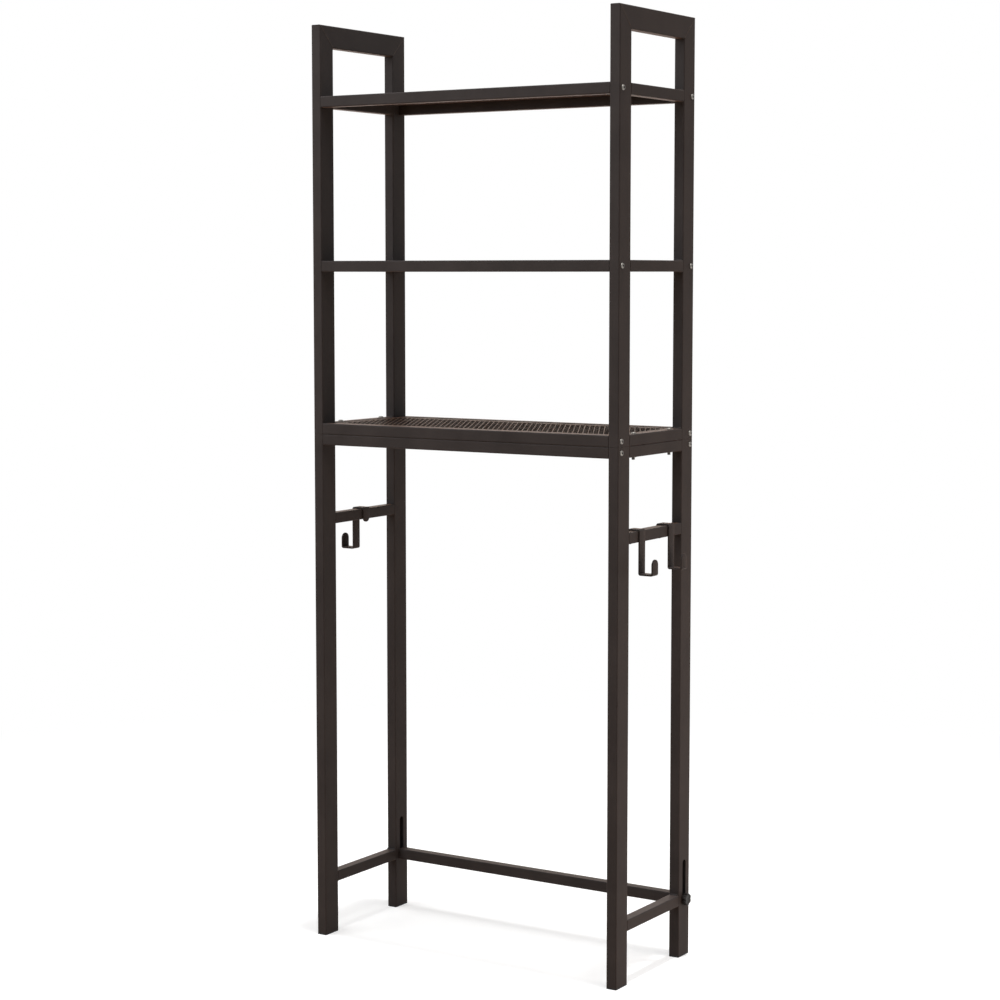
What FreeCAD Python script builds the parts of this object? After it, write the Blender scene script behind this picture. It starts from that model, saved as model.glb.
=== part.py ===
"""Over-the-toilet storage rack: two ladder-like side frames, each in an upper and a lower half,
three mesh shelves between them, a rear stretcher bar that slides in slots, and hooks on the sides.

The frame of the model is +X to the right, +Y to the back and +Z up, in millimetres. The origin is
on the floor, in the middle of the footprint.
"""
import FreeCAD, Part
import math
import os

V = FreeCAD.Vector

# ---- Overall sizes ----
WIDTH = 650.0                # over the outer faces of the posts
DEPTH = 270.0                # over the front and rear faces of the posts
HEIGHT = 1700.0              # floor to the top of the top bars
SPLIT_HEIGHT = 950.0         # the seam where the upper side frames stand on the lower ones

# ---- Tubes ----
POST_ACROSS = 20.0           # post and top bar tube, along X
POST_DEEP = 40.0             # post and top bar tube, its other side
RAIL = 20.0                  # side of the square tube of every rail
TUBE_WALL = 0.8
TUBE_CORNER = 2.0            # outside radius of a tube's long edges
EDGE_BREAK = 0.4             # bevel round the end of a post where two tubes meet

# ---- Heights of the rails ----
TOP_SHELF_DROP = 130.0       # from the top of the frames down to the top shelf
HOOK_RAIL_DROP = 150.0       # from the seam down to the top of the hook rails
FOOT_RAIL_TOP = 116.0

# ---- Expanded metal mesh of the shelves ----
DIAMOND_X = 10.44            # short way of a diamond, along X
DIAMOND_Y = 18.7             # long way of a diamond, along Y
STRAND_WIDTH = 1.4
MESH_THICK = 1.2
MESH_DROP = 1.0              # from the top of the shelf's rails down to the top of the mesh
MESH_LONG_RIM = 20.0         # least width of the solid rim along the front and rear rails
MESH_END_RIM = 10.0          # least width of the solid rim at the sheet's ends
MESH_END_GAP = 0.5           # between the sheet's ends and the posts' inner faces

# ---- Screws that hold the shelves, with the threaded inserts in the rail ends ----
SCREW_RADIUS = 3.0
SCREW_HOLE_GAP = 0.3         # radial play of a screw in a tube's hole
THREAD_GAP = 0.05            # radial play of a screw in its thread
HEAD_RADIUS = 5.0
HEAD_HEIGHT = 2.8
HEAD_RIM = 0.7               # straight rim under the dome of a head
HEAD_CROWN_RADIUS = 2.6      # the flat on top of the dome, round the socket
HEAD_BULGE_OUT = 0.82        # a point of the dome's arc, as a share of the head's radius
HEAD_BULGE_UP = 0.68         # and as a share of the dome's height
SOCKET_ACROSS = 4.0          # across the flats of the hexagon socket
SOCKET_DEEP = 2.0
INSERT_LENGTH = 14.0
INSERT_FIT = 0.05            # play of an insert or plug inside its tube, all round

# ---- Screws that join the upper side frames to the lower ones ----
JOINT_SCREW_INSET = 30.0     # from the inner face of a post to the screw's axis
JOINT_SCREW_TAIL = 4.5       # how far the screw stands out below its rivet nut
RIVET_FLANGE_RADIUS = 5.0
RIVET_FLANGE_THICK = 1.0
RIVET_BODY_RADIUS = 4.3
RIVET_BODY_LENGTH = 12.0

# ---- Feet ----
FOOT_FLANGE = 3.0            # thickness under the tube
FOOT_STEM = 22.0             # length inside the tube
FOOT_STEM_WALL = 2.0

# ---- Rear stretcher bar, its slots and its knobs ----
SLOT_WIDTH = 12.0
SLOT_TRAVEL = 67.0           # how far the stretcher rises
SLOT_FIT = 0.25              # play of the guide boss in the slot, on each side
STRETCHER_TOP = 116.0        # top of the bar in its lowest place
STRETCHER_END_GAP = 0.3      # between the bar's ends and the posts
STRETCHER_PLUG = 30.0        # length of the end plug inside the bar
BOSS_SETBACK = 0.5           # the boss ends this far inside the post's outer face
STUD_RADIUS = 4.0
STUD_REACH = 26.0            # length of stud inside the plug, from the bar's end
KNOB_RADIUS = 11.0
KNOB_THICK = 7.5
KNOB_SKIRT_RADIUS = 7.5
KNOB_SKIRT_THICK = 1.5
KNOB_GAP = 0.3               # between the knob's skirt and the post
KNOB_LOBES = 6
KNOB_SCALLOP = 3.2           # radius of the hollows between the lobes
KNOB_SCALLOP_DEEP = 1.7      # how far the hollows cut into the rim
KNOB_EDGE = 0.8
KNOB_CAP = 1.5               # plastic left over the end of the stud

# ---- Hooks, bent from flat bar ----
HOOK_WIDTH = 20.0            # along the rail
HOOK_THICK = 3.0
HOOK_FIT = 0.25              # between the hook and each side of its rail
HOOK_TAB = 25.0              # inner tab, down from the rail's top
HOOK_DROP = 78.0             # long leg, down from the rail's top
HOOK_REACH = 23.0            # clear width inside the upturned end
HOOK_TIP = 29.0              # height of the upturned end
HOOK_BEND = 1.0              # inside radius of the bends
LEFT_HOOK_INSET = 93.0       # from the front post to the middle of the left hook
FRONT_HOOK_INSET = 41.0      # from the front post to the middle of the right front hook
REAR_HOOK_INSET = 42.0       # from the rear post to the middle of the right rear hook

# ---- Stations that follow from the sizes ----
INNER_X = WIDTH / 2 - POST_ACROSS          # inner face of the posts
SIDE_X = WIDTH / 2 - POST_ACROSS / 2       # middle of a side frame
INNER_Y = DEPTH / 2 - POST_DEEP            # face of a post that a side rail meets
POST_Y = DEPTH / 2 - POST_DEEP / 2         # middle of a post
RAIL_Y = DEPTH / 2 - RAIL / 2              # middle of a front or back rail
BASE_SHELF_TOP = SPLIT_HEIGHT + RAIL
TOP_SHELF_TOP = HEIGHT - TOP_SHELF_DROP
MIDDLE_SHELF_TOP = (BASE_SHELF_TOP + TOP_SHELF_TOP) / 2
HOOK_RAIL_TOP = SPLIT_HEIGHT - HOOK_RAIL_DROP
SHELF_TOPS = {"top": TOP_SHELF_TOP, "middle": MIDDLE_SHELF_TOP, "base": BASE_SHELF_TOP}
SIDES = {"left": -1, "right": 1}
ENDS = {"front": -1, "rear": 1}
STRETCHER_Z = STRETCHER_TOP - RAIL / 2
HOOK_PLACES = {"left_hook": ("left", LEFT_HOOK_INSET - INNER_Y),
               "right_front_hook": ("right", FRONT_HOOK_INSET - INNER_Y),
               "right_rear_hook": ("right", INNER_Y - REAR_HOOK_INSET)}
CUT = 1.0                                  # how far a cutting solid runs past what it cuts


# ---- Basic shapes ----

def block(low, high):
    """A box between two opposite corners."""
    return Part.makeBox(high[0] - low[0], high[1] - low[1], high[2] - low[2], V(*low))


def bar(across, deep, length, corner, broken_ends=()):
    """A solid bar up +Z with its section centred on the origin and its long edges rounded.

    The ends at the heights in broken_ends get a small bevel.
    """
    solid = Part.makeBox(across, deep, length, V(-across / 2, -deep / 2, 0))
    radius = min(corner, 0.45 * min(across, deep))
    if radius > 0.01:
        uprights = [e for e in solid.Edges if abs(e.Vertexes[0].Z - e.Vertexes[1].Z) > length / 2]
        solid = solid.makeFillet(radius, uprights)
    for height in broken_ends:
        rim = [e for e in solid.Edges if max(abs(v.Z - height) for v in e.Vertexes) < 1e-6]
        solid = solid.makeChamfer(min(EDGE_BREAK, radius / 2), rim)
    return solid


def hollow(across, deep, length, margin=0.0):
    """The space inside a tube of that section, run past both ends by margin."""
    core = bar(across - 2 * TUBE_WALL, deep - 2 * TUBE_WALL, length + 2 * margin,
               TUBE_CORNER - TUBE_WALL)
    return core.translated(V(0, 0, -margin))


def along(shape, direction):
    """Turn a shape that runs up +Z so that it runs along +X or +Y, its first side staying level."""
    if direction == "x":
        turned = shape.rotated(V(0, 0, 0), V(0, 1, 0), 90)
    elif direction == "y":
        turned = shape.rotated(V(0, 0, 0), V(1, 0, 0), -90)
    else:
        turned = shape
    return turned


def square_tube(length):
    """A rail's tube, up +Z."""
    return bar(RAIL, RAIL, length, TUBE_CORNER).cut(hollow(RAIL, RAIL, length, CUT))


def rod(radius, start, end):
    """A cylinder between two points."""
    line = end.sub(start)
    return Part.makeCylinder(radius, line.Length, start, line)


def turned_solid(points):
    """Turn a closed outline of (radius, height) points about Z."""
    outline = Part.makePolygon([V(r, 0, z) for r, z in points + points[:1]])
    return Part.Face(outline).revolve(V(0, 0, 0), V(0, 0, 1), 360)


# ---- Side frames ----

def mitre_wedge(front, for_post):
    """What a mitre takes off a post, or off the top bar, at the frame's top front corner.

    The mitre runs down from the outer top corner at 45 degrees, because the posts and the bar are
    one tube. The wedge is turned to the rear corner where front is False.
    """
    outer = V(0, -DEPTH / 2 - CUT, HEIGHT + CUT)
    inner = V(0, -INNER_Y + CUT, HEIGHT - POST_DEEP - CUT)
    if for_post:
        third = V(0, inner.y, outer.z)
    else:
        third = V(0, outer.y, inner.z)
    face = Part.Face(Part.makePolygon([outer, inner, third, outer]))
    wedge = face.extrude(V(POST_ACROSS + 2 * CUT, 0, 0)).translated(V(-POST_ACROSS / 2 - CUT, 0, 0))
    if not front:
        wedge = wedge.rotated(V(0, 0, 0), V(0, 0, 1), 180)
    return wedge


def post(low, high, end, broken_ends):
    """A post tube between two heights, on the middle plane of a side frame."""
    length = high - low
    tube = bar(POST_ACROSS, POST_DEEP, length, TUBE_CORNER, [height - low for height in broken_ends])
    tube = tube.cut(hollow(POST_ACROSS, POST_DEEP, length, CUT))
    return tube.translated(V(0, ENDS[end] * POST_Y, low))


def screw_hole(end, height):
    """The hole of a shelf screw through both walls of a post."""
    radius = SCREW_RADIUS + SCREW_HOLE_GAP
    start = V(-POST_ACROSS / 2 - CUT, ENDS[end] * RAIL_Y, height)
    return rod(radius, start, start + V(POST_ACROSS + 2 * CUT, 0, 0))


def upper_post(end):
    """An upper post, mitred at its top and drilled for the three shelves."""
    solid = post(SPLIT_HEIGHT, HEIGHT, end, [SPLIT_HEIGHT]).cut(mitre_wedge(end == "front", True))
    for top in SHELF_TOPS.values():
        solid = solid.cut(screw_hole(end, top - RAIL / 2))
    return solid


def lower_post(end):
    """A lower post, drilled for the brace rail. The rear one has the stretcher's slot."""
    solid = post(FOOT_FLANGE, SPLIT_HEIGHT, end, [FOOT_FLANGE, SPLIT_HEIGHT])
    solid = solid.cut(screw_hole(end, SPLIT_HEIGHT - RAIL / 2))
    if end == "rear":
        solid = solid.cut(stretcher_slot())
    return solid


def stretcher_slot():
    """The upright slot through both walls of a rear post, round at both ends."""
    thick = POST_ACROSS + 2 * CUT
    start = V(-thick / 2, POST_Y, STRETCHER_Z)
    rise = V(0, 0, SLOT_TRAVEL)
    low_end = rod(SLOT_WIDTH / 2, start, start + V(thick, 0, 0))
    high_end = low_end.translated(rise)
    middle = Part.makeBox(thick, SLOT_WIDTH, SLOT_TRAVEL, start - V(0, SLOT_WIDTH / 2, 0))
    return low_end.fuse([middle, high_end])


def top_bar():
    """The bar over a side frame: the posts' tube laid front to back, mitred at both ends."""
    tube = bar(POST_ACROSS, POST_DEEP, DEPTH, TUBE_CORNER)
    tube = tube.cut(hollow(POST_ACROSS, POST_DEEP, DEPTH, CUT))
    tube = along(tube, "y").translated(V(0, -DEPTH / 2, HEIGHT - POST_DEEP / 2))
    for front in (True, False):
        tube = tube.cut(mitre_wedge(front, False))
    return tube


def side_rail(top):
    """A rail between the front and rear post of a side frame."""
    tube = along(square_tube(2 * INNER_Y), "y")
    return tube.translated(V(0, -INNER_Y, top - RAIL / 2))


def joint_screw_spots():
    """Where the two joint screws of a side frame stand, on its middle plane at the seam."""
    inset = INNER_Y - JOINT_SCREW_INSET
    return [V(0, -inset, SPLIT_HEIGHT), V(0, inset, SPLIT_HEIGHT)]


def base_side_rail():
    """The lowest rail of an upper side frame, drilled for the joint screws."""
    rail = side_rail(SPLIT_HEIGHT + RAIL)
    for spot in joint_screw_spots():
        top = spot + V(0, 0, RAIL + CUT)
        rail = rail.cut(rod(SCREW_RADIUS + SCREW_HOLE_GAP, spot - V(0, 0, CUT), top))
    return rail


def joint_rail():
    """The top rail of a lower side frame: screw holes above, rivet nut holes below."""
    rail = side_rail(SPLIT_HEIGHT)
    for spot in joint_screw_spots():
        middle = spot - V(0, 0, RAIL / 2)
        bottom = spot - V(0, 0, RAIL + CUT)
        rail = rail.cut(rod(SCREW_RADIUS + SCREW_HOLE_GAP, middle, spot + V(0, 0, CUT)))
        rail = rail.cut(rod(RIVET_BODY_RADIUS + INSERT_FIT, bottom, middle))
    return rail


def foot_plug(end):
    """The plastic plug in the foot of a post: a flange with the tube's outline and a hollow stem."""
    across = POST_ACROSS - 2 * TUBE_WALL - 2 * INSERT_FIT
    deep = POST_DEEP - 2 * TUBE_WALL - 2 * INSERT_FIT
    inner_corner = TUBE_CORNER - TUBE_WALL
    flange = bar(POST_ACROSS, POST_DEEP, FOOT_FLANGE, TUBE_CORNER)
    stem = bar(across, deep, FOOT_FLANGE + FOOT_STEM, inner_corner)
    pocket = bar(across - 2 * FOOT_STEM_WALL, deep - 2 * FOOT_STEM_WALL, FOOT_STEM + CUT, 0)
    plug = flange.fuse(stem).cut(pocket.translated(V(0, 0, FOOT_FLANGE)))
    return plug.removeSplitter().translated(V(0, ENDS[end] * POST_Y, 0))


# ---- Shelves ----

def cross_rail(top, end):
    """A rail from side frame to side frame, flush with the front or the rear of the posts."""
    tube = along(square_tube(2 * INNER_X), "x")
    return tube.translated(V(-INNER_X, ENDS[end] * RAIL_Y, top - RAIL / 2))


def flat_loop(points):
    """A closed wire through flat points at height 0."""
    return Part.makePolygon([V(x, y, 0) for x, y in points + points[:1]])


def mesh_lines(half_extent, rim, cell):
    """The lines between half diamonds along one axis, as many as fit inside the sheet's rim."""
    count = int(2 * (half_extent - rim) / cell)
    return [round((index - count / 2) * cell, 6) for index in range(count + 1)]


def strand_side(lines_x, lines_y, column, right):
    """One long side of a zigzag strand, front to back: flat where it bonds to its neighbour."""
    slope = DIAMOND_X / DIAMOND_Y
    half = STRAND_WIDTH / 2 * math.hypot(1, slope)
    bond = half / slope
    points = []
    for row, y in enumerate(lines_y):
        at_right = (column + row) % 2 == 1
        if at_right == right:
            x = lines_x[column + right]
            points.append((x, max(y - bond, lines_y[0])))
            points.append((x, min(y + bond, lines_y[-1])))
        elif right:
            points.append((lines_x[column] + half, y))
        else:
            points.append((lines_x[column + 1] - half, y))
    return points


def mesh_strands(lines_x, lines_y):
    """The outlines of the sheet's strands, which zigzag from front to back side by side."""
    strands = []
    for column in range(len(lines_x) - 1):
        left = strand_side(lines_x, lines_y, column, False)
        right = strand_side(lines_x, lines_y, column, True)
        strands.append(left + right[::-1])
    return strands


def mesh_window(strands, lines_x, lines_y):
    """The inner outline of the sheet's rim, with a corner wherever a strand meets the rim."""
    ends = [(1, lines_y[0], 1), (0, lines_x[-1], 1), (1, lines_y[-1], -1), (0, lines_x[0], -1)]
    corners = [(lines_x[0], lines_y[0]), (lines_x[-1], lines_y[0]),
               (lines_x[-1], lines_y[-1]), (lines_x[0], lines_y[-1])]
    window = []
    for corner, (axis, value, step) in zip(corners, ends):
        met = sorted({point for strand in strands for point in strand if point[axis] == value})
        for point in [corner] + met[::step]:
            if point not in window:
                window.append(point)
    return window


def open_edges(outlines):
    """The edges that only one of some flat outlines has, as pairs of points."""
    edges = {}
    for outline in outlines:
        for start, end in zip(outline, outline[1:] + outline[:1]):
            key = frozenset((start, end))
            if key in edges:
                del edges[key]
            else:
                edges[key] = (start, end)
    return list(edges.values())


def mesh_sheet():
    """A shelf's sheet of expanded metal with its top at height 0, from rail to rail."""
    half_x = INNER_X - MESH_END_GAP
    half_y = DEPTH / 2 - RAIL
    lines_x = mesh_lines(half_x, MESH_END_RIM, DIAMOND_X / 2)
    lines_y = mesh_lines(half_y, MESH_LONG_RIM, DIAMOND_Y / 2)
    strands = mesh_strands(lines_x, lines_y)
    window = mesh_window(strands, lines_x, lines_y)
    rim = [(-half_x, -half_y), (half_x, -half_y), (half_x, half_y), (-half_x, half_y)]
    top = [Part.Face([flat_loop(rim), flat_loop(window[::-1])])]
    top += [Part.Face(flat_loop(strand)) for strand in strands]
    down = V(0, 0, -MESH_THICK)
    walls = []
    for start, end in open_edges(strands + [rim, window]):
        first = V(start[0], start[1], 0)
        last = V(end[0], end[1], 0)
        walls.append(Part.Face(Part.makePolygon([first, last, last + down, first + down, first])))
    skin = Part.makeCompound(top + [face.translated(down) for face in top] + walls)
    skin.sewShape()
    return Part.makeSolid(skin.Shells[0])


# ---- Screws, inserts and rivet nuts ----

def button_screw(length):
    """A button-head screw: shank down -Z, domed head with a hexagon socket above height 0."""
    rim = V(HEAD_RADIUS, 0, HEAD_RIM)
    crown = V(HEAD_CROWN_RADIUS, 0, HEAD_HEIGHT)
    bulge = V(HEAD_RADIUS * HEAD_BULGE_OUT, 0, HEAD_RIM + (HEAD_HEIGHT - HEAD_RIM) * HEAD_BULGE_UP)
    foot = V(HEAD_RADIUS, 0, 0)
    middle = V(0, 0, 0)
    top = V(0, 0, HEAD_HEIGHT)
    edges = [Part.makeLine(middle, foot), Part.makeLine(foot, rim),
             Part.Arc(rim, bulge, crown).toShape(),
             Part.makeLine(crown, top), Part.makeLine(top, middle)]
    head = Part.Face(Part.Wire(edges)).revolve(V(0, 0, 0), V(0, 0, 1), 360)
    corner = SOCKET_ACROSS / math.sqrt(3)
    hexagon = [(corner * math.cos(math.radians(60 * k)), corner * math.sin(math.radians(60 * k)))
               for k in range(6)]
    socket = Part.Face(flat_loop(hexagon)).extrude(V(0, 0, SOCKET_DEEP + CUT))
    shank = rod(SCREW_RADIUS, V(0, 0, -length), V(0, 0, 0))
    return head.fuse(shank).cut(socket.translated(V(0, 0, HEAD_HEIGHT - SOCKET_DEEP)))


def rail_screws(height):
    """The four screws that hold a pair of cross rails, through the posts into the rail ends."""
    screw = button_screw(POST_ACROSS + INSERT_LENGTH)
    screws = []
    for side in SIDES.values():
        for end in ENDS.values():
            turned = screw.rotated(V(0, 0, 0), V(0, 1, 0), side * 90)
            screws.append(turned.translated(V(side * WIDTH / 2, end * RAIL_Y, height)))
    return Part.makeCompound(screws)


def rail_inserts(height):
    """The four threaded blocks pressed into the ends of a pair of cross rails."""
    across = RAIL - 2 * TUBE_WALL - 2 * INSERT_FIT
    insert = bar(across, across, INSERT_LENGTH, TUBE_CORNER - TUBE_WALL)
    insert = insert.cut(rod(SCREW_RADIUS + THREAD_GAP, V(0, 0, -CUT), V(0, 0, INSERT_LENGTH + CUT)))
    inserts = []
    for side in SIDES.values():
        for end in ENDS.values():
            start = min(side * INNER_X, side * (INNER_X - INSERT_LENGTH))
            inserts.append(along(insert, "x").translated(V(start, end * RAIL_Y, height)))
    return Part.makeCompound(inserts)


def joint_screws():
    """The four upright screws that clamp the upper side frames onto the lower ones."""
    length = 2 * RAIL + RIVET_FLANGE_THICK + JOINT_SCREW_TAIL
    screw = button_screw(length)
    return Part.makeCompound([screw.translated(spot + V(side * SIDE_X, 0, RAIL))
                              for side in SIDES.values() for spot in joint_screw_spots()])


def rivet_nuts():
    """The four rivet nuts set into the bottom wall of the joint rails."""
    bore = SCREW_RADIUS + THREAD_GAP
    nut = turned_solid([(bore, -RIVET_FLANGE_THICK), (RIVET_FLANGE_RADIUS, -RIVET_FLANGE_THICK),
                        (RIVET_FLANGE_RADIUS, 0), (RIVET_BODY_RADIUS, 0),
                        (RIVET_BODY_RADIUS, RIVET_BODY_LENGTH), (bore, RIVET_BODY_LENGTH)])
    return Part.makeCompound([nut.translated(spot + V(side * SIDE_X, 0, -RAIL))
                              for side in SIDES.values() for spot in joint_screw_spots()])


# ---- Stretcher, studs and knobs ----

def stretcher_tube():
    """The bar between the rear posts, in its lowest place."""
    half = INNER_X - STRETCHER_END_GAP
    tube = along(square_tube(2 * half), "x")
    return tube.translated(V(-half, POST_Y, STRETCHER_Z))


def stretcher_plug():
    """The right end plug of the stretcher: a block inside the bar and a boss through the slot."""
    end_x = INNER_X - STRETCHER_END_GAP
    across = RAIL - 2 * TUBE_WALL - 2 * INSERT_FIT
    plug = along(bar(across, across, STRETCHER_PLUG, TUBE_CORNER - TUBE_WALL), "x")
    plug = plug.translated(V(end_x - STRETCHER_PLUG, 0, 0))
    boss = rod(SLOT_WIDTH / 2 - SLOT_FIT, V(end_x, 0, 0), V(WIDTH / 2 - BOSS_SETBACK, 0, 0))
    bore = rod(STUD_RADIUS + THREAD_GAP, V(end_x - STRETCHER_PLUG - CUT, 0, 0), V(WIDTH / 2, 0, 0))
    return plug.fuse(boss).cut(bore)


def knob_stations():
    """The X of the knob's skirt, of its lobed grip and of its outer face, on the right side."""
    skirt = WIDTH / 2 + KNOB_GAP
    grip = skirt + KNOB_SKIRT_THICK
    return skirt, grip, grip + KNOB_THICK


def knob_stud():
    """The right knob's threaded stud, from inside the plug to inside the knob."""
    face = knob_stations()[2]
    start = INNER_X - STRETCHER_END_GAP - STUD_REACH
    return rod(STUD_RADIUS, V(start, 0, 0), V(face - KNOB_CAP, 0, 0))


def knob():
    """The right knob: a lobed grip on a round skirt, with a blind bore for the stud."""
    skirt_x, grip_x, face_x = knob_stations()
    grip = rod(KNOB_RADIUS, V(grip_x, 0, 0), V(face_x, 0, 0))
    hollow_at = KNOB_RADIUS + KNOB_SCALLOP - KNOB_SCALLOP_DEEP
    for lobe in range(KNOB_LOBES):
        angle = math.radians(360 / KNOB_LOBES * (lobe + 0.5))
        centre = V(grip_x - CUT, hollow_at * math.sin(angle), hollow_at * math.cos(angle))
        grip = grip.cut(rod(KNOB_SCALLOP, centre, centre + V(KNOB_THICK + 2 * CUT, 0, 0)))
    outer_rim = [e for e in grip.Edges if e.BoundBox.XMin > face_x - 0.01]
    grip = grip.makeFillet(KNOB_EDGE, outer_rim)
    skirt = rod(KNOB_SKIRT_RADIUS, V(skirt_x, 0, 0), V(grip_x, 0, 0))
    bore = rod(STUD_RADIUS, V(skirt_x - CUT, 0, 0), V(face_x - KNOB_CAP, 0, 0))
    return grip.fuse(skirt).cut(bore)


def at_slot(shape, side):
    """Put a piece made on the X axis for the right side on the slot's line of either side."""
    if side == "left":
        shape = shape.rotated(V(0, 0, 0), V(0, 0, 1), 180)
    return shape.translated(V(0, POST_Y, STRETCHER_Z))


# ---- Hooks ----

def edges_at(shape, corners):
    """The edges along Y that stand at the given (x, z) corners."""
    found = []
    for edge in shape.Edges:
        box = edge.BoundBox
        if box.YLength < HOOK_WIDTH / 2:
            continue
        for x, z in corners:
            if math.hypot(box.Center.x - x, box.Center.z - z) < 0.01:
                found.append(edge)
    return found


def round_corners(height, up):
    """What rounding the end of the flat bar at that height takes off its two corners."""
    radius = HOOK_WIDTH / 2
    sign = 1 if up else -1
    reach = RAIL + HOOK_REACH + 4 * HOOK_THICK
    low = height - radius if up else height - CUT
    square = Part.makeBox(2 * reach, HOOK_WIDTH + 2 * CUT, radius + CUT, V(-reach, -radius - CUT, low))
    centre = V(-reach - CUT, 0, height - sign * radius)
    return square.cut(rod(radius, centre, centre + V(2 * reach + 2 * CUT, 0, 0)))


def hook():
    """A hook for the right side: X runs out from the rail's middle, height 0 is the rail's top."""
    near = RAIL / 2 + HOOK_FIT
    far = near + HOOK_THICK
    tip_in = far + HOOK_REACH
    tip_out = tip_in + HOOK_THICK
    floor = HOOK_THICK - HOOK_DROP
    outline = [(-far, -HOOK_TAB), (-far, HOOK_THICK), (far, HOOK_THICK), (far, floor),
               (tip_in, floor), (tip_in, HOOK_TIP - HOOK_DROP), (tip_out, HOOK_TIP - HOOK_DROP),
               (tip_out, -HOOK_DROP), (near, -HOOK_DROP), (near, 0), (-near, 0), (-near, -HOOK_TAB)]
    side = Part.makePolygon([V(x, -HOOK_WIDTH / 2, z) for x, z in outline + outline[:1]])
    strip = Part.Face(side).extrude(V(0, HOOK_WIDTH, 0))
    outer_bends = [(-far, HOOK_THICK), (far, HOOK_THICK), (tip_out, -HOOK_DROP), (near, -HOOK_DROP)]
    inner_bends = [(-near, 0), (near, 0), (far, floor), (tip_in, floor)]
    strip = strip.makeFillet(HOOK_BEND + HOOK_THICK, edges_at(strip, outer_bends))
    strip = strip.makeFillet(HOOK_BEND, edges_at(strip, inner_bends))
    beyond_tab = block((-far - CUT, -HOOK_WIDTH, -HOOK_TAB - CUT),
                       (0, HOOK_WIDTH, CUT - HOOK_TAB + HOOK_WIDTH / 2))
    strip = strip.cut(round_corners(-HOOK_TAB, False).common(beyond_tab))
    beyond_tip = block((tip_in - CUT, -HOOK_WIDTH, HOOK_TIP - HOOK_DROP - HOOK_WIDTH / 2),
                       (tip_out + CUT, HOOK_WIDTH, HOOK_TIP - HOOK_DROP + CUT))
    return strip.cut(round_corners(HOOK_TIP - HOOK_DROP, True).common(beyond_tip))


def placed_hook(side, y):
    """A hook over the hook rail of one side, its middle at y."""
    shape = hook()
    if side == "left":
        shape = shape.rotated(V(0, 0, 0), V(0, 0, 1), 180)
    return shape.translated(V(SIDES[side] * SIDE_X, y, HOOK_RAIL_TOP))


# ---- The whole rack ----

def side_frame_pieces():
    """The tubes and feet of both side frames, by node name."""
    pieces = {"top_bar": top_bar(), "top_side_rail": side_rail(TOP_SHELF_TOP),
              "middle_side_rail": side_rail(MIDDLE_SHELF_TOP), "base_side_rail": base_side_rail(),
              "joint_rail": joint_rail(), "hook_rail": side_rail(HOOK_RAIL_TOP),
              "foot_rail": side_rail(FOOT_RAIL_TOP)}
    for end in ENDS:
        pieces["upper_" + end + "_post"] = upper_post(end)
        pieces["lower_" + end + "_post"] = lower_post(end)
        pieces[end + "_foot"] = foot_plug(end)
    return {side + "_" + name: shape.translated(V(sign * SIDE_X, 0, 0))
            for side, sign in SIDES.items() for name, shape in pieces.items()}


def shelf_pieces():
    """The rails, meshes, screws and inserts between the side frames, by node name."""
    sheet = mesh_sheet()
    pieces = {}
    for name, top in SHELF_TOPS.items():
        pieces[name + "_shelf_front_rail"] = cross_rail(top, "front")
        pieces[name + "_shelf_rear_rail"] = cross_rail(top, "rear")
        pieces[name + "_shelf_mesh"] = sheet.translated(V(0, 0, top - MESH_DROP))
        pieces[name + "_shelf_screws"] = rail_screws(top - RAIL / 2)
        pieces[name + "_shelf_inserts"] = rail_inserts(top - RAIL / 2)
    for end in ENDS:
        pieces[end + "_brace_rail"] = cross_rail(SPLIT_HEIGHT, end)
    pieces["brace_rail_screws"] = rail_screws(SPLIT_HEIGHT - RAIL / 2)
    pieces["brace_rail_inserts"] = rail_inserts(SPLIT_HEIGHT - RAIL / 2)
    pieces["joint_screws"] = joint_screws()
    pieces["joint_rivet_nuts"] = rivet_nuts()
    return pieces


def stretcher_pieces():
    """The stretcher with its end plugs, studs and knobs, by node name."""
    pieces = {"stretcher_tube": stretcher_tube()}
    for side in SIDES:
        pieces[side + "_stretcher_plug"] = at_slot(stretcher_plug(), side)
        pieces[side + "_knob_stud"] = at_slot(knob_stud(), side)
        pieces[side + "_knob"] = at_slot(knob(), side)
    return pieces


def rack():
    """Every piece of the rack, by node name."""
    pieces = side_frame_pieces()
    pieces.update(shelf_pieces())
    pieces.update(stretcher_pieces())
    for name, (side, y) in HOOK_PLACES.items():
        pieces[name] = placed_hook(side, y)
    return pieces


os.makedirs("parts", exist_ok=True)
for node, shape in rack().items():
    shape.exportStep("parts/" + node + ".step")
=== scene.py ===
"""The over-the-toilet storage rack as it looks: coats, welds, screws, knobs and hooks, in a studio."""
import math

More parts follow.
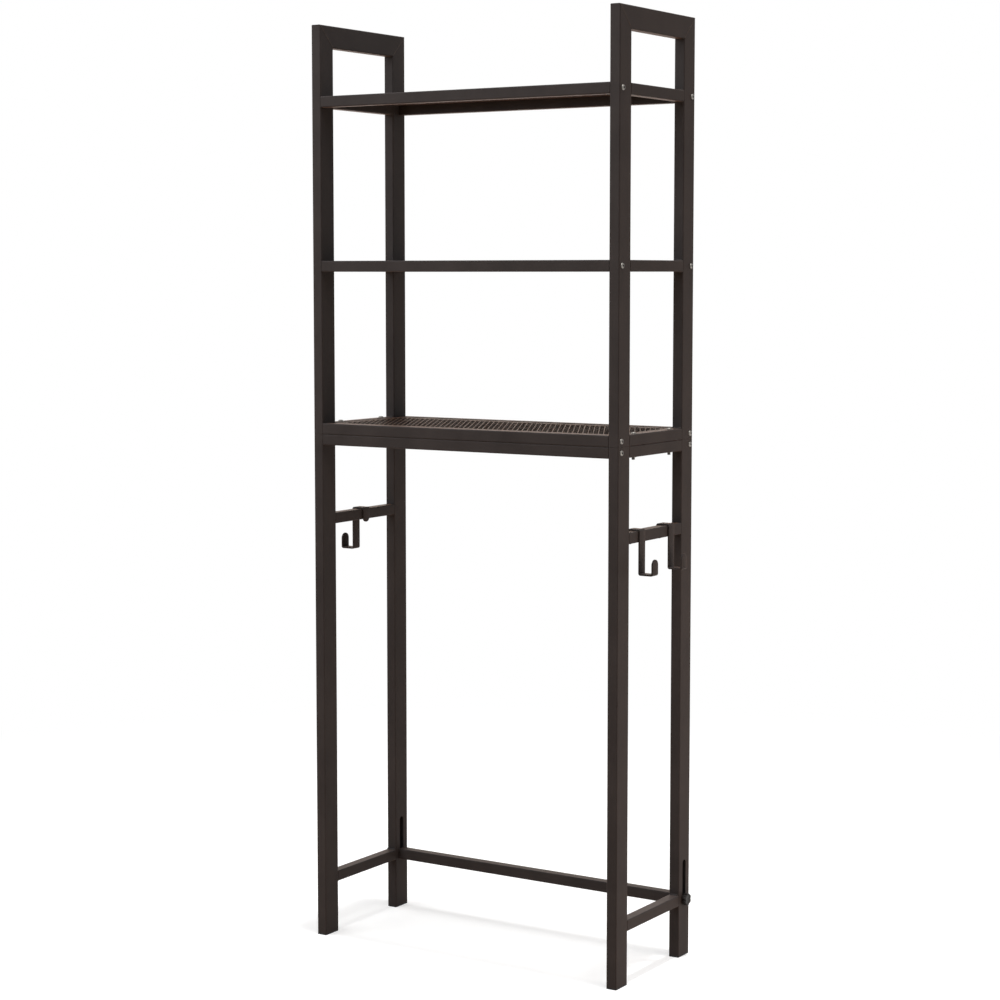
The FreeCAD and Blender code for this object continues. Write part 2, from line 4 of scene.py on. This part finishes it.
import bpy
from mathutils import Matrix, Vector


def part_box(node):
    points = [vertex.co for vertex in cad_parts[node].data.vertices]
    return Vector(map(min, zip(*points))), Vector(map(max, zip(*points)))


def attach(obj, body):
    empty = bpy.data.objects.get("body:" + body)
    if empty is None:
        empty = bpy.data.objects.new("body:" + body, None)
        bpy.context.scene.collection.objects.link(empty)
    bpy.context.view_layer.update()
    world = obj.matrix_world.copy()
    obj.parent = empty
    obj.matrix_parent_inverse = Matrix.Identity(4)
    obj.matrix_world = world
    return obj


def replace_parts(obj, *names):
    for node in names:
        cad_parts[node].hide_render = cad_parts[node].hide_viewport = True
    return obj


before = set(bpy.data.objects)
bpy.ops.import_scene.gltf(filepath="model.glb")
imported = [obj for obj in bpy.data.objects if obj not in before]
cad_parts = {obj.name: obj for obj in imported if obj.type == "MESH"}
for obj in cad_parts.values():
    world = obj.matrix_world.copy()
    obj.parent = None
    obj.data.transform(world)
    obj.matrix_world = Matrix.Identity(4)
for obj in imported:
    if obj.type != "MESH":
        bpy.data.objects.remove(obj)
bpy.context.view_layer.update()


# ---- Camera ----
# A short portrait lens at chest height, off the rack's front right corner. It looks slightly down, and
# is shifted down a little to centre the rack.

CAMERA_PLACE = (2.2747, -3.5668, 1.2463)
CAMERA_DIP = 5.07                    # degrees below the horizon
CAMERA_SWING = 32.54                 # degrees to the left of straight back
SENSOR = 36.0                        # mm across
LENS = 83.27                         # mm
LENS_SHIFT = -0.021                  # upwards, as a share of the sensor
SIGHT = 200                          # metres that the camera sees

bpy.ops.object.select_all(action="DESELECT")
camera_turn = (math.radians(90 - CAMERA_DIP), 0, math.radians(CAMERA_SWING))
bpy.ops.object.camera_add(location=CAMERA_PLACE, rotation=camera_turn)
camera = bpy.context.object
camera.data.sensor_width = SENSOR
camera.data.lens = LENS
camera.data.shift_y = LENS_SHIFT
camera.data.clip_end = SIGHT
bpy.context.scene.camera = camera


# ---- Side frames: tubes ----
# Each side frame is mild steel tube, 40 by 20 mm posts and 20 mm square rails, welded up in two halves.
# The welds on the flat sides are ground flush before the halves are blasted and powder coated.

MILLIMETRE = 0.001
COAT = ("#2E2B2B", "#363333")        # the dark and the light tone of a finish, here and below
COAT_SPREAD = (0.3, 0.7)             # noise at which the two tones are reached
COAT_PATCH = 70.0                    # mm, slow drift of the coat's depth along a tube
COAT_ROUGHNESS = (0.48, 0.58)
COAT_GLOSS = 0.06                    # specular level: fine matt texture scatters polyester's gloss
COAT_PAINTED_WARM_SHEEN = (0.3, 0.3, "#B07A50")   # sheen weight, roughness, tint: a brown sheen edge on, its tint painted warm bounce light
PEEL_GRAIN = 1.3                     # mm, orange peel of the baked powder, drawn twice as coarse
PEEL_DEPTH = 0.03                    # mm


def linear(code):
    """The linear colour of an sRGB hex code."""
    values = [int(code[k:k + 2], 16) / 255 for k in (1, 3, 5)]
    return [v / 12.92 if v <= 0.04045 else ((v + 0.055) / 1.055) ** 2.4 for v in values] + [1.0]


def add_node(material, kind, settings, links):
    """Add a node with its settings, by property or socket name, and link sockets to its inputs."""
    made = material.node_tree.nodes.new(kind)
    for name, value in settings.items():
        if name in made.inputs:
            made.inputs[name].default_value = value
        else:
            setattr(made, name, value)
    for name, socket in links.items():
        material.node_tree.links.new(socket, made.inputs[name])
    return made


def new_material(name):
    """An empty node material and its object coordinates."""
    material = bpy.data.materials.new(name)
    material.use_nodes = True
    material.node_tree.nodes.clear()
    return material, add_node(material, "ShaderNodeTexCoord", {}, {}).outputs["Object"]


def powder_coat(name, tones):
    """Polyester powder baked on steel: an even satin with fine orange peel, slightly uneven in depth."""
    material, places = new_material(name)
    patches = add_node(material, "ShaderNodeTexNoise",
                       {"Scale": 1 / (COAT_PATCH * MILLIMETRE), "Detail": 3.0}, {"Vector": places})
    colour = add_node(material, "ShaderNodeValToRGB", {}, {"Fac": patches.outputs["Fac"]})
    for stop, tone, level in zip(colour.color_ramp.elements, tones, COAT_SPREAD):
        stop.color = linear(tone)
        stop.position = level
    gloss = add_node(material, "ShaderNodeMapRange",
                     {"To Min": COAT_ROUGHNESS[0], "To Max": COAT_ROUGHNESS[1]},
                     {"Value": patches.outputs["Fac"]})
    peel = add_node(material, "ShaderNodeTexNoise",
                    {"Scale": 1 / (PEEL_GRAIN * MILLIMETRE), "Detail": 2.0}, {"Vector": places})
    bump = add_node(material, "ShaderNodeBump", {"Strength": 0.5, "Distance": PEEL_DEPTH * MILLIMETRE},
                    {"Height": peel.outputs["Fac"]})
    # The sheen's brown tint is painted warm light on faces that are seen edge on.
    shader = add_node(material, "ShaderNodeBsdfPrincipled",
                      {"Specular IOR Level": COAT_GLOSS, "Sheen Weight": COAT_PAINTED_WARM_SHEEN[0],
                       "Sheen Roughness": COAT_PAINTED_WARM_SHEEN[1], "Sheen Tint": linear(COAT_PAINTED_WARM_SHEEN[2])},
                      {"Base Color": colour.outputs["Color"], "Roughness": gloss.outputs["Result"],
                       "Normal": bump.outputs["Normal"]})
    add_node(material, "ShaderNodeOutputMaterial", {}, {"Surface": shader.outputs["BSDF"]})
    return material


def finish_node(name, material):
    """Give a CAD piece its material."""
    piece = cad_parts[name]
    piece.data.materials.clear()
    piece.data.materials.append(material)


FRAME_TUBES = ("top_bar", "top_side_rail", "middle_side_rail", "base_side_rail", "joint_rail",
               "hook_rail", "foot_rail", "upper_front_post", "upper_rear_post", "lower_front_post",
               "lower_rear_post")

frame_coat = powder_coat("bronze_black_powder_coat", COAT)
for side in ("left", "right"):
    for tube in FRAME_TUBES:
        finish_node(side + "_" + tube, frame_coat)


# ---- Side frames: welds ----
# The rails meet the posts in short fillet welds above and below, laid in dabs that leave ripples.
# The mitres of the top corners are dressed almost flush: a fine ridge shows through the coat.

BEAD_RADIUS = 2.3                    # mm, as are all sizes of pieces from here on
BEAD_LENGTH = 15.5
BEAD_RIPPLES = 8
BEAD_SIDES = 12
BEAD_START, BEAD_END = 0.45, 0.5     # shares of the radius left at the bead's two ends
DAB_VALLEY, DAB_CREST = 0.2, 0.62    # where a dab is thinnest and fullest, as shares of its length
VALLEY_SHARE = 0.86                  # share of the radius left in a valley
WELDED_RAILS = ("top_side_rail", "middle_side_rail", "base_side_rail", "joint_rail", "hook_rail",
                "foot_rail")
SEAM_RIDGE = 0.9                     # half width of a dressed mitre seam
SEAM_PROUD = 0.22                    # how far it stands out of the tube
SEAM_SHORT = 3.4                     # what the tube's rounded edges take off the seam's length
SEAM_RIPPLES = 22
SEAM_HIGHLIGHT_COAT = ("#3B3431", "#45403C")   # a shade lighter than the frame's coat: a painted highlight along the ridge


def only(*pieces):
    """Select these pieces and nothing else, the first one active."""
    bpy.ops.object.select_all(action="DESELECT")
    for piece in pieces:
        piece.select_set(True)
    bpy.context.view_layer.objects.active = pieces[0]


def turned(name, outline, sides):
    """A closed round piece up +Z, drawn out ring by ring from an outline of (radius, height)."""
    radius, height = outline[0]
    bpy.ops.mesh.primitive_circle_add(vertices=sides, radius=radius * MILLIMETRE, fill_type="NGON",
                                      location=(0, 0, height * MILLIMETRE))
    piece = bpy.context.object
    piece.name = name
    bpy.ops.object.transform_apply(location=True)
    bpy.ops.object.mode_set(mode="EDIT")
    for wider, higher in outline[1:]:
        step = (0, 0, (higher - height) * MILLIMETRE)
        bpy.ops.mesh.extrude_region_move(TRANSFORM_OT_translate={"value": step})
        share = wider / radius
        bpy.ops.transform.resize(value=(share, share, 1), center_override=(0, 0, higher * MILLIMETRE))
        radius, height = wider, higher
    bpy.ops.mesh.select_all(action="SELECT")
    bpy.ops.mesh.normals_make_consistent(inside=False)
    bpy.ops.object.mode_set(mode="OBJECT")
    return piece


def settle(piece):
    """Work an object's place, turn and size into its mesh."""
    only(piece)
    bpy.ops.object.transform_apply(location=True, rotation=True, scale=True)
    return piece


def copy_of(pattern, place, turn=(0, 0, 0), spin=0.0):
    """A copy with its own mesh, spun about its own axis, turned, and moved to a place in metres."""
    piece = pattern.copy()
    piece.data = pattern.data.copy()
    bpy.context.scene.collection.objects.link(piece)
    piece.rotation_euler = (0, 0, spin)
    settle(piece)
    piece.rotation_euler = turn
    piece.location = place
    return settle(piece)


def as_one(name, pieces, material, body):
    """Join pieces into one that rides on a body, with its material and slot."""
    only(*pieces)
    if len(pieces) > 1:
        bpy.ops.object.join()
    piece = bpy.context.object
    piece.name = name
    piece.data.name = name
    piece.data.materials.clear()
    piece.data.materials.append(material)
    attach(piece, body)
    return piece


def bead(name, radius, length, ripples):
    """A weld bead along X, centred on the origin: a rounded ripple for each dab."""
    pitch = length / ripples
    outline = [(radius * BEAD_START, -length / 2)]
    for ripple in range(ripples):
        start = -length / 2 + ripple * pitch
        outline += [(radius * VALLEY_SHARE, start + pitch * DAB_VALLEY),
                    (radius, start + pitch * DAB_CREST)]
    outline.append((radius * BEAD_END, length / 2))
    piece = turned(name, outline, BEAD_SIDES)
    piece.rotation_euler = (0, math.radians(90), 0)
    settle(piece)
    rounding = piece.modifiers.new("rounding", "SUBSURF")
    rounding.levels = 1
    rounding.render_levels = 1
    bpy.ops.object.modifier_apply(modifier=rounding.name)
    bpy.ops.object.shade_smooth()
    return piece


fillet = bead("fillet", BEAD_RADIUS, BEAD_LENGTH, BEAD_RIPPLES)
welds = []
for side in ("left", "right"):
    for rail in WELDED_RAILS:
        low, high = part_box(side + "_" + rail)
        middle = (low.x + high.x) / 2
        # A rail with another rail or the hooks against one side has no bead there.
        one_sided = {"base_side_rail": (high.z,), "joint_rail": (low.z,), "hook_rail": (low.z,)}
        for height in one_sided.get(rail, (low.z, high.z)):
            welds.append(copy_of(fillet, (middle, low.y, height)))
            welds.append(copy_of(fillet, (middle, high.y, height), (0, 0, math.pi)))
    # The top bar has a bead under each end, in line with the ends of the rail below it.
    low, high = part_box(side + "_top_side_rail")
    for place in (low.y, high.y):
        welds.append(copy_of(fillet, ((low.x + high.x) / 2, place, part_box(side + "_top_bar")[0].z)))
bpy.data.objects.remove(fillet)
as_one("fillet_welds", welds, frame_coat, "frame")

bar_low, bar_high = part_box("left_top_bar")
bar_deep = bar_high.z - bar_low.z
seam_length = bar_deep / MILLIMETRE * math.sqrt(2) - SEAM_SHORT
seam = bead("seam", SEAM_RIDGE, seam_length, SEAM_RIPPLES)
seam.scale = (1, 1, SEAM_PROUD / SEAM_RIDGE)
settle(seam)
seam.rotation_euler = (0, math.radians(90), 0)
settle(seam)
seam.rotation_euler = (math.radians(90), 0, 0)
settle(seam)
seams = []
for side in ("left", "right"):
    low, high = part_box(side + "_top_bar")
    for face in (low.x, high.x):
        for edge, lean in ((low.y, 1), (high.y, -1)):
            place = (face, edge + lean * bar_deep / 2, high.z - bar_deep / 2)
            seams.append(copy_of(seam, place, (lean * math.radians(-45), 0, 0)))
bpy.data.objects.remove(seam)
# The seams' coat is painted lighter than the frame's, as a highlight along each ridge.
seam_highlight_coat = powder_coat("bronze_black_coat_painted_lighter_over_weld", SEAM_HIGHLIGHT_COAT)
as_one("mitre_seams", seams, seam_highlight_coat, "frame")


# ---- Shelf rails and braces ----
# Lengths of the same square tube, coated, that bolt between the side frames. The two brace rails under
# the base shelf tie the lower halves together.

CROSS_RAILS = [shelf + "_shelf_" + end + "_rail" for shelf in ("top", "middle", "base")
               for end in ("front", "rear")] + ["front_brace_rail", "rear_brace_rail"]

for rail in CROSS_RAILS:
    finish_node(rail, frame_coat)


# ---- Shelf mesh ----
# Expanded steel sheet, slit and stretched into small diamonds inside a solid rim, rolled flat and
# coated. It lies almost flush with the tops of its rails and is tacked to them from below.

TACK_RADIUS = 1.7
TACK_LENGTH = 7.0
TACK_RIPPLES = 3
TACKS = 7                            # along each rail
MESH_SHADED_COAT = ("#201E1E", "#272424")   # darker than the tubes' coat: painted shade, as the strands take less light than flat tube

# The mesh and its tacks get a coat that is painted darker, as shade.
mesh_shaded_coat = powder_coat("bronze_black_coat_painted_darker_on_mesh", MESH_SHADED_COAT)
tack = bead("tack", TACK_RADIUS, TACK_LENGTH, TACK_RIPPLES)
for shelf in ("top", "middle", "base"):
    name = shelf + "_shelf_mesh"
    finish_node(name, mesh_shaded_coat)
    low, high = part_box(name)
    step = (high.x - low.x) / TACKS
    tacks = [copy_of(tack, (low.x + step * (count + 0.5), edge, low.z))
             for count in range(TACKS) for edge in (low.y, high.y)]
    as_one(shelf + "_shelf_tacks", tacks, mesh_shaded_coat, "frame")
bpy.data.objects.remove(tack)


# ---- Screws ----
# M6 button-head screws, cold headed in steel, with a hexagon socket and a bright zinc plate.
# Their threads are rolled with a pitch of 1 mm, and are drawn here as rings.

SCREW_RADIUS = 3.0
SCREW_SIDES = 36
SCREW_LENGTH = 34.0
SCREW_THREADED = 14.0
SCREW_CREASE = 40                    # degrees, over which an edge stays sharp
THREAD_ROOT = 2.45
THREAD_PITCH = 1.0
TIP_CHAMFER = 0.4
ROOT_END, CREST_START, CREST_END = 0.12, 0.5, 0.62     # heights in one turn of the thread
RUN_OUT = 0.6                        # height at which the last turn meets the shank
HEAD_RADIUS = 5.0
HEAD_HEIGHT = 2.8
HEAD_DOME = (                        # radius and height, from the head's underside to its crown
    (4.85, 0.0), (HEAD_RADIUS, 0.15), (HEAD_RADIUS, 0.7), (4.8, 1.23), (4.5, 1.7), (4.12, 2.11),
    (3.66, 2.44), (3.15, 2.67), (2.6, HEAD_HEIGHT),
)
SOCKET_CORNER = 2.31
SOCKET_DEEP = 2.0
SOCKET_SPREAD = 7.0                  # turns the sockets apart, since screws stop at any angle
ZINC = ("#6B6763", "#7E7B76")
ZINC_ROUGHNESS = (0.36, 0.50)
ZINC_GRAIN = 0.9                     # size of the plate's clouds and scuffs
SCUFF_DEPTH = 0.02


def plated(name, tones, roughness, grain):
    """Bright zinc on headed or turned steel: a cool grey metal with faint scuffs and a cloudy gloss."""
    material, places = new_material(name)
    clouds = add_node(material, "ShaderNodeTexNoise", {"Scale": 1 / (grain * MILLIMETRE), "Detail": 4.0},
                      {"Vector": places})
    colour = add_node(material, "ShaderNodeValToRGB", {}, {"Fac": clouds.outputs["Fac"]})
    for stop, tone in zip(colour.color_ramp.elements, tones):
        stop.color = linear(tone)
    gloss = add_node(material, "ShaderNodeMapRange",
                     {"To Min": roughness[0], "To Max": roughness[1]}, {"Value": clouds.outputs["Fac"]})
    bump = add_node(material, "ShaderNodeBump", {"Strength": 0.3, "Distance": SCUFF_DEPTH * MILLIMETRE},
                    {"Height": clouds.outputs["Fac"]})
    shader = add_node(material, "ShaderNodeBsdfPrincipled", {"Metallic": 1.0},
                      {"Base Color": colour.outputs["Color"], "Roughness": gloss.outputs["Result"],
                       "Normal": bump.outputs["Normal"]})
    add_node(material, "ShaderNodeOutputMaterial", {}, {"Surface": shader.outputs["BSDF"]})
    return material


def smooth_by_angle(piece, degrees):
    """Shade a piece smooth except over edges sharper than an angle."""
    only(piece)
    bpy.ops.object.shade_smooth_by_angle(angle=math.radians(degrees))


def cut_away(piece, cutter):
    """Cut one piece's form out of another."""
    only(piece)
    cut = piece.modifiers.new("cut", "BOOLEAN")
    cut.operation = "DIFFERENCE"
    cut.object = cutter
    bpy.ops.object.modifier_apply(modifier=cut.name)
    bpy.data.objects.remove(cutter)


def screw(name, length, threaded):
    """A button-head screw up +Z, its head's underside at height 0, threaded over its last stretch."""
    outline = [(THREAD_ROOT - TIP_CHAMFER, -length)]
    turns = int(threaded / THREAD_PITCH)
    for turn in range(turns):
        foot = -length + turn * THREAD_PITCH
        outline += [(THREAD_ROOT, foot + ROOT_END), (SCREW_RADIUS, foot + CREST_START),
                    (SCREW_RADIUS, foot + CREST_END)]
    shank = -length + turns * THREAD_PITCH
    outline += [(THREAD_ROOT, shank + ROOT_END), (SCREW_RADIUS, shank + RUN_OUT), (SCREW_RADIUS, 0.0)]
    piece = turned(name, outline + list(HEAD_DOME), SCREW_SIDES)
    bpy.ops.mesh.primitive_cylinder_add(vertices=6, radius=SOCKET_CORNER * MILLIMETRE,
                                        depth=2 * SOCKET_DEEP * MILLIMETRE,
                                        location=(0, 0, HEAD_HEIGHT * MILLIMETRE))
    cut_away(piece, bpy.context.object)
    smooth_by_angle(piece, SCREW_CREASE)
    return piece


zinc = plated("bright_zinc_plate", ZINC, ZINC_ROUGHNESS, ZINC_GRAIN)
rail_screw = screw("rail_screw", SCREW_LENGTH, SCREW_THREADED)
for group in ("top_shelf_screws", "middle_shelf_screws", "base_shelf_screws", "brace_rail_screws"):
    low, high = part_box(group)
    height = (low.z + high.z) / 2
    reach = high.x - HEAD_HEIGHT * MILLIMETRE
    inset = (high.z - low.z) / 2
    copies = []
    for side in (-1, 1):
        for y in (low.y + inset, high.y - inset):
            turn = (0, side * math.radians(90), 0)
            spin = SOCKET_SPREAD * (y + side + height)
            copies.append(copy_of(rail_screw, (side * reach, y, height), turn, spin))
    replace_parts(as_one(group + "_plated", copies, zinc, "frame"), group)
bpy.data.objects.remove(rail_screw)


# ---- Joint screws and rivet nuts ----
# Four longer screws stand upright at the seam. They clamp the upper halves of the side frames to the
# lower ones, and end below the rivet nuts that are pressed into the joint rails.

JOINT_SCREW_THREADED = 20.0
JOINT_SOCKET_SPREAD = 5.0
INSERT_STEEL = ("#76726C", "#8A867F")          # lathe-turned, so lighter and finer than the screws
INSERT_ROUGHNESS = (0.35, 0.5)
INSERT_GRAIN = 0.7

low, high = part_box("joint_screws")
shoulder = high.z - HEAD_HEIGHT * MILLIMETRE
joint_screw = screw("joint_screw", (shoulder - low.z) / MILLIMETRE, JOINT_SCREW_THREADED)
head = HEAD_RADIUS * MILLIMETRE
copies = [copy_of(joint_screw, (x, y, shoulder), spin=JOINT_SOCKET_SPREAD * (x + y))
          for x in (low.x + head, high.x - head) for y in (low.y + head, high.y - head)]
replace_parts(as_one("joint_screws_plated", copies, zinc, "frame"), "joint_screws")
bpy.data.objects.remove(joint_screw)

insert_steel = plated("zinc_plate_on_turned_steel", INSERT_STEEL, INSERT_ROUGHNESS, INSERT_GRAIN)
for group in ("joint_rivet_nuts", "top_shelf_inserts", "middle_shelf_inserts", "base_shelf_inserts",
              "brace_rail_inserts"):
    finish_node(group, insert_steel)


# ---- Feet ----
# Moulded polyethylene glides, pressed into the open ends of the posts. Only their flange shows, and it
# keeps the steel off the floor.

FOOT_PLASTIC = ("#131212", "#191817")
FOOT_ROUGHNESS = (0.48, 0.62)
FOOT_ROUND = 0.5
MOULD_GRAIN = 0.5                    # spark-eroded texture of the mould, drawn as coarse as it shows
MOULD_RELIEF = 0.04
SAME_POINT = 0.000002                # metres, under which corners of loose triangles are one
FLAT = 0.4                           # degrees, under which neighbouring faces are one
CREASE = 35                          # degrees, over which an edge stays sharp


def moulded(name, tones, roughness):
    """Black moulded plastic: low gloss from the fine spark-eroded texture of its mould."""
    material, places = new_material(name)
    texture = add_node(material, "ShaderNodeTexNoise",
                       {"Scale": 1 / (MOULD_GRAIN * MILLIMETRE), "Detail": 3.0}, {"Vector": places})
    colour = add_node(material, "ShaderNodeValToRGB", {}, {"Fac": texture.outputs["Fac"]})
    for stop, tone in zip(colour.color_ramp.elements, tones):
        stop.color = linear(tone)
    gloss = add_node(material, "ShaderNodeMapRange",
                     {"To Min": roughness[0], "To Max": roughness[1]}, {"Value": texture.outputs["Fac"]})
    bump = add_node(material, "ShaderNodeBump", {"Strength": 0.5, "Distance": MOULD_RELIEF * MILLIMETRE},
                    {"Height": texture.outputs["Fac"]})
    shader = add_node(material, "ShaderNodeBsdfPrincipled", {"IOR": 1.45, "Specular IOR Level": 0.25},
                      {"Base Color": colour.outputs["Color"], "Roughness": gloss.outputs["Result"],
                       "Normal": bump.outputs["Normal"]})
    add_node(material, "ShaderNodeOutputMaterial", {}, {"Surface": shader.outputs["BSDF"]})
    return material


def merged(node, name):
    """A copy of a CAD piece that stands for it, its loose triangles merged into whole faces."""
    piece = bpy.data.objects.new(name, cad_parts[node].data.copy())
    bpy.context.scene.collection.objects.link(piece)
    only(piece)
    bpy.ops.mesh.customdata_custom_splitnormals_clear()
    bpy.ops.object.mode_set(mode="EDIT")
    bpy.ops.mesh.select_all(action="SELECT")
    bpy.ops.mesh.remove_doubles(threshold=SAME_POINT)
    bpy.ops.mesh.dissolve_limited(angle_limit=math.radians(FLAT))
    bpy.ops.object.mode_set(mode="OBJECT")
    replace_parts(piece, node)
    return piece


def rounded(piece, width, segments, sharp):
    """Round a piece's edges over sharp degrees by a width, and shade it smooth between them."""
    only(piece)
    rounding = piece.modifiers.new("rounding", "BEVEL")
    rounding.width = width * MILLIMETRE
    rounding.segments = segments
    rounding.limit_method = "ANGLE"
    rounding.angle_limit = math.radians(sharp)
    bpy.ops.object.modifier_apply(modifier=rounding.name)
    smooth_by_angle(piece, CREASE)
    return piece


foot_plastic = moulded("moulded_polyethylene", FOOT_PLASTIC, FOOT_ROUGHNESS)
for side in ("left", "right"):
    for end in ("front", "rear"):
        node = side + "_" + end + "_foot"
        foot = rounded(merged(node, node + "_glide"), FOOT_ROUND, segments=2, sharp=40)
        as_one(foot.name, [foot], foot_plastic, "frame")


# ---- Stretcher ----
# A coated square tube with a plastic plug in each end. The plug's boss runs in the slot of the rear
# post, and a stud through it takes the knob.

NYLON = ("#181514", "#201C1B")
NYLON_ROUGHNESS = (0.42, 0.55)       # nylon flows into the mould well and comes out glossier

nylon = moulded("moulded_black_nylon", NYLON, NYLON_ROUGHNESS)
finish_node("stretcher_tube", frame_coat)
for side in ("left", "right"):
    finish_node(side + "_stretcher_plug", nylon)
    finish_node(side + "_knob_stud", zinc)


# ---- Knobs ----
# Six-lobed clamping knobs, moulded in nylon round the stud, with a shallow dish in the outer face. The
# lobes are rounded for the fingers.

DISH = ((5.6, -0.9), (7.0, -0.6), (7.8, 0.0), (8.2, 0.6))      # radius, and height over the knob's face
DISH_SIDES = 48
KNOB_ROUND = 0.4

for side, outward in (("left", -1), ("right", 1)):
    node = side + "_knob"
    low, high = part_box(node)
    face = high.x if outward > 0 else low.x
    knob = merged(node, node + "_moulded")
    dish = turned("dish", DISH, DISH_SIDES)
    dish.rotation_euler = (0, outward * math.radians(90), 0)
    dish.location = (face, (low.y + high.y) / 2, (low.z + high.z) / 2)
    cut_away(knob, settle(dish))
    rounded(knob, KNOB_ROUND, segments=3, sharp=25)
    as_one(knob.name, [knob], nylon, side + "_knob")


# ---- Hooks ----
# Bent from 20 by 3 mm flat bar with rounded ends, deburred and coated like the frame. They hang over
# the hook rails and slide along them.

HOOK_ROUND = 0.5

for hook in ("left_hook", "right_front_hook", "right_rear_hook"):
    strip = rounded(merged(hook, hook + "_strip"), HOOK_ROUND, segments=3, sharp=40)
    as_one(strip.name, [strip], frame_coat, hook)


# ---- Studio ----
# A pale floor that runs out to a white background and throws warm light up. Broad lamps stand overhead
# and front left, weak ones low on the right and behind, and a narrow sun overhead draws the shadows.
# None of it is part of the rack.

FLOOR_SIZE = 60                      # metres, as is all of the studio
PAPER = "#C8C8C8"
PAPER_LIFT = 0.5                     # what the floor glows by itself, so that it reads white
BOUNCE = "#C6A080"                   # what the floor throws onto the rack: warm, as from pale boards
NEAR, FAR = 0.9, 2.4                 # from the rack, over which the floor fades to plain white
WHITE = (1.0, 1.0, 1.0, 1.0)
AMBIENT = 0.13                       # what the white all round adds to the light on the rack
LAMPS = (                            # name, place, aim, width and height, watts, tint
    ("overhead_lamp", (0.3, -0.6, 3.9), (0, 0, 0.9), (2.5, 2.5), 88, "#FFFFFF"),
    ("front_left_lamp", (-2.0, -2.6, 2.6), (0, 0, 1.2), (2.8, 2.8), 89, "#FFFFFF"),
    ("right_lamp", (1.45, 0.3, 0.4), (0.33, 0, 0.35), (0.6, 1.0), 8.2, "#FFF0E6"),
    ("back_lamp", (-2.2, 3.5, 1.5), (0, 0, 0.6), (2.0, 2.0), 21, "#FFE8D6"),
)
SUN_PLACE = (0.2, -0.2, 4.0)
SUN_TILT = 3                         # degrees from straight down
SUN_WIDTH = 2.5                      # degrees across
SUN_POWER = 1.9


def background_rays(material):
    """1 where the background itself is looked at, directly or in a mirror or glass, and 0 elsewhere."""
    sight = add_node(material, "ShaderNodeLightPath", {}, {})
    looked_at = sight.outputs["Is Camera Ray"]
    for name in ("Is Glossy Ray", "Is Transmission Ray"):
        either = add_node(material, "ShaderNodeMath", {"operation": "MAXIMUM"},
                          {0: looked_at, 1: sight.outputs[name]})
        looked_at = either.outputs["Value"]
    return looked_at


bpy.ops.mesh.primitive_plane_add(size=FLOOR_SIZE)
floor = bpy.context.object
floor.name = "studio_floor"

# Matt paper that glows a little, so that only the rack's shadow shows on it.
paper, places = new_material("white_paper_floor")
matt = add_node(paper, "ShaderNodeBsdfDiffuse", {"Color": linear(PAPER)}, {})
glow = add_node(paper, "ShaderNodeEmission", {"Strength": PAPER_LIFT}, {})
lifted = add_node(paper, "ShaderNodeAddShader", {},
                  {0: matt.outputs["BSDF"], 1: glow.outputs["Emission"]})
plain = add_node(paper, "ShaderNodeEmission", {"Strength": 1.0}, {})
distance = add_node(paper, "ShaderNodeVectorMath", {"operation": "LENGTH"}, {"Vector": places})
fade = add_node(paper, "ShaderNodeMapRange",
                {"interpolation_type": "SMOOTHSTEP", "From Min": NEAR, "From Max": FAR},
                {"Value": distance.outputs["Value"]})
seen = add_node(paper, "ShaderNodeMixShader", {},
                {"Fac": fade.outputs["Result"], 1: lifted.outputs["Shader"],
                 2: plain.outputs["Emission"]})
warm = add_node(paper, "ShaderNodeBsdfDiffuse", {"Color": linear(BOUNCE)}, {})
shown = add_node(paper, "ShaderNodeMixShader", {},
                 {"Fac": background_rays(paper), 1: warm.outputs["BSDF"], 2: seen.outputs["Shader"]})
add_node(paper, "ShaderNodeOutputMaterial", {}, {"Surface": shown.outputs["Shader"]})
floor.data.materials.append(paper)

world = bpy.data.worlds.new("studio")
bpy.context.scene.world = world
world.use_nodes = True
world.node_tree.nodes.clear()
around = add_node(world, "ShaderNodeBackground", {"Color": WHITE, "Strength": AMBIENT}, {})
white = add_node(world, "ShaderNodeBackground", {"Color": WHITE, "Strength": 1.0}, {})
shown = add_node(world, "ShaderNodeMixShader", {},
                 {"Fac": background_rays(world), 1: around.outputs["Background"],
                  2: white.outputs["Background"]})
add_node(world, "ShaderNodeOutputWorld", {}, {"Surface": shown.outputs["Shader"]})

for name, place, aim, size, power, tint in LAMPS:
    bpy.ops.object.light_add(type="AREA", location=place)
    lamp = bpy.context.object
    lamp.name = name
    lamp.data.shape = "RECTANGLE"
    lamp.data.size, lamp.data.size_y = size
    lamp.data.energy = power
    lamp.data.color = linear(tint)[:3]
    lamp.rotation_euler = (lamp.location - Vector(aim)).to_track_quat("Z", "Y").to_euler()
    lamp.visible_camera = False

bpy.ops.object.light_add(type="SUN", location=SUN_PLACE, rotation=(0, math.radians(SUN_TILT), 0))
sun = bpy.context.object
sun.name = "overhead_spot"
sun.data.energy = SUN_POWER
sun.data.angle = math.radians(SUN_WIDTH)

scene = bpy.context.scene
scene.view_settings.view_transform = "Standard"
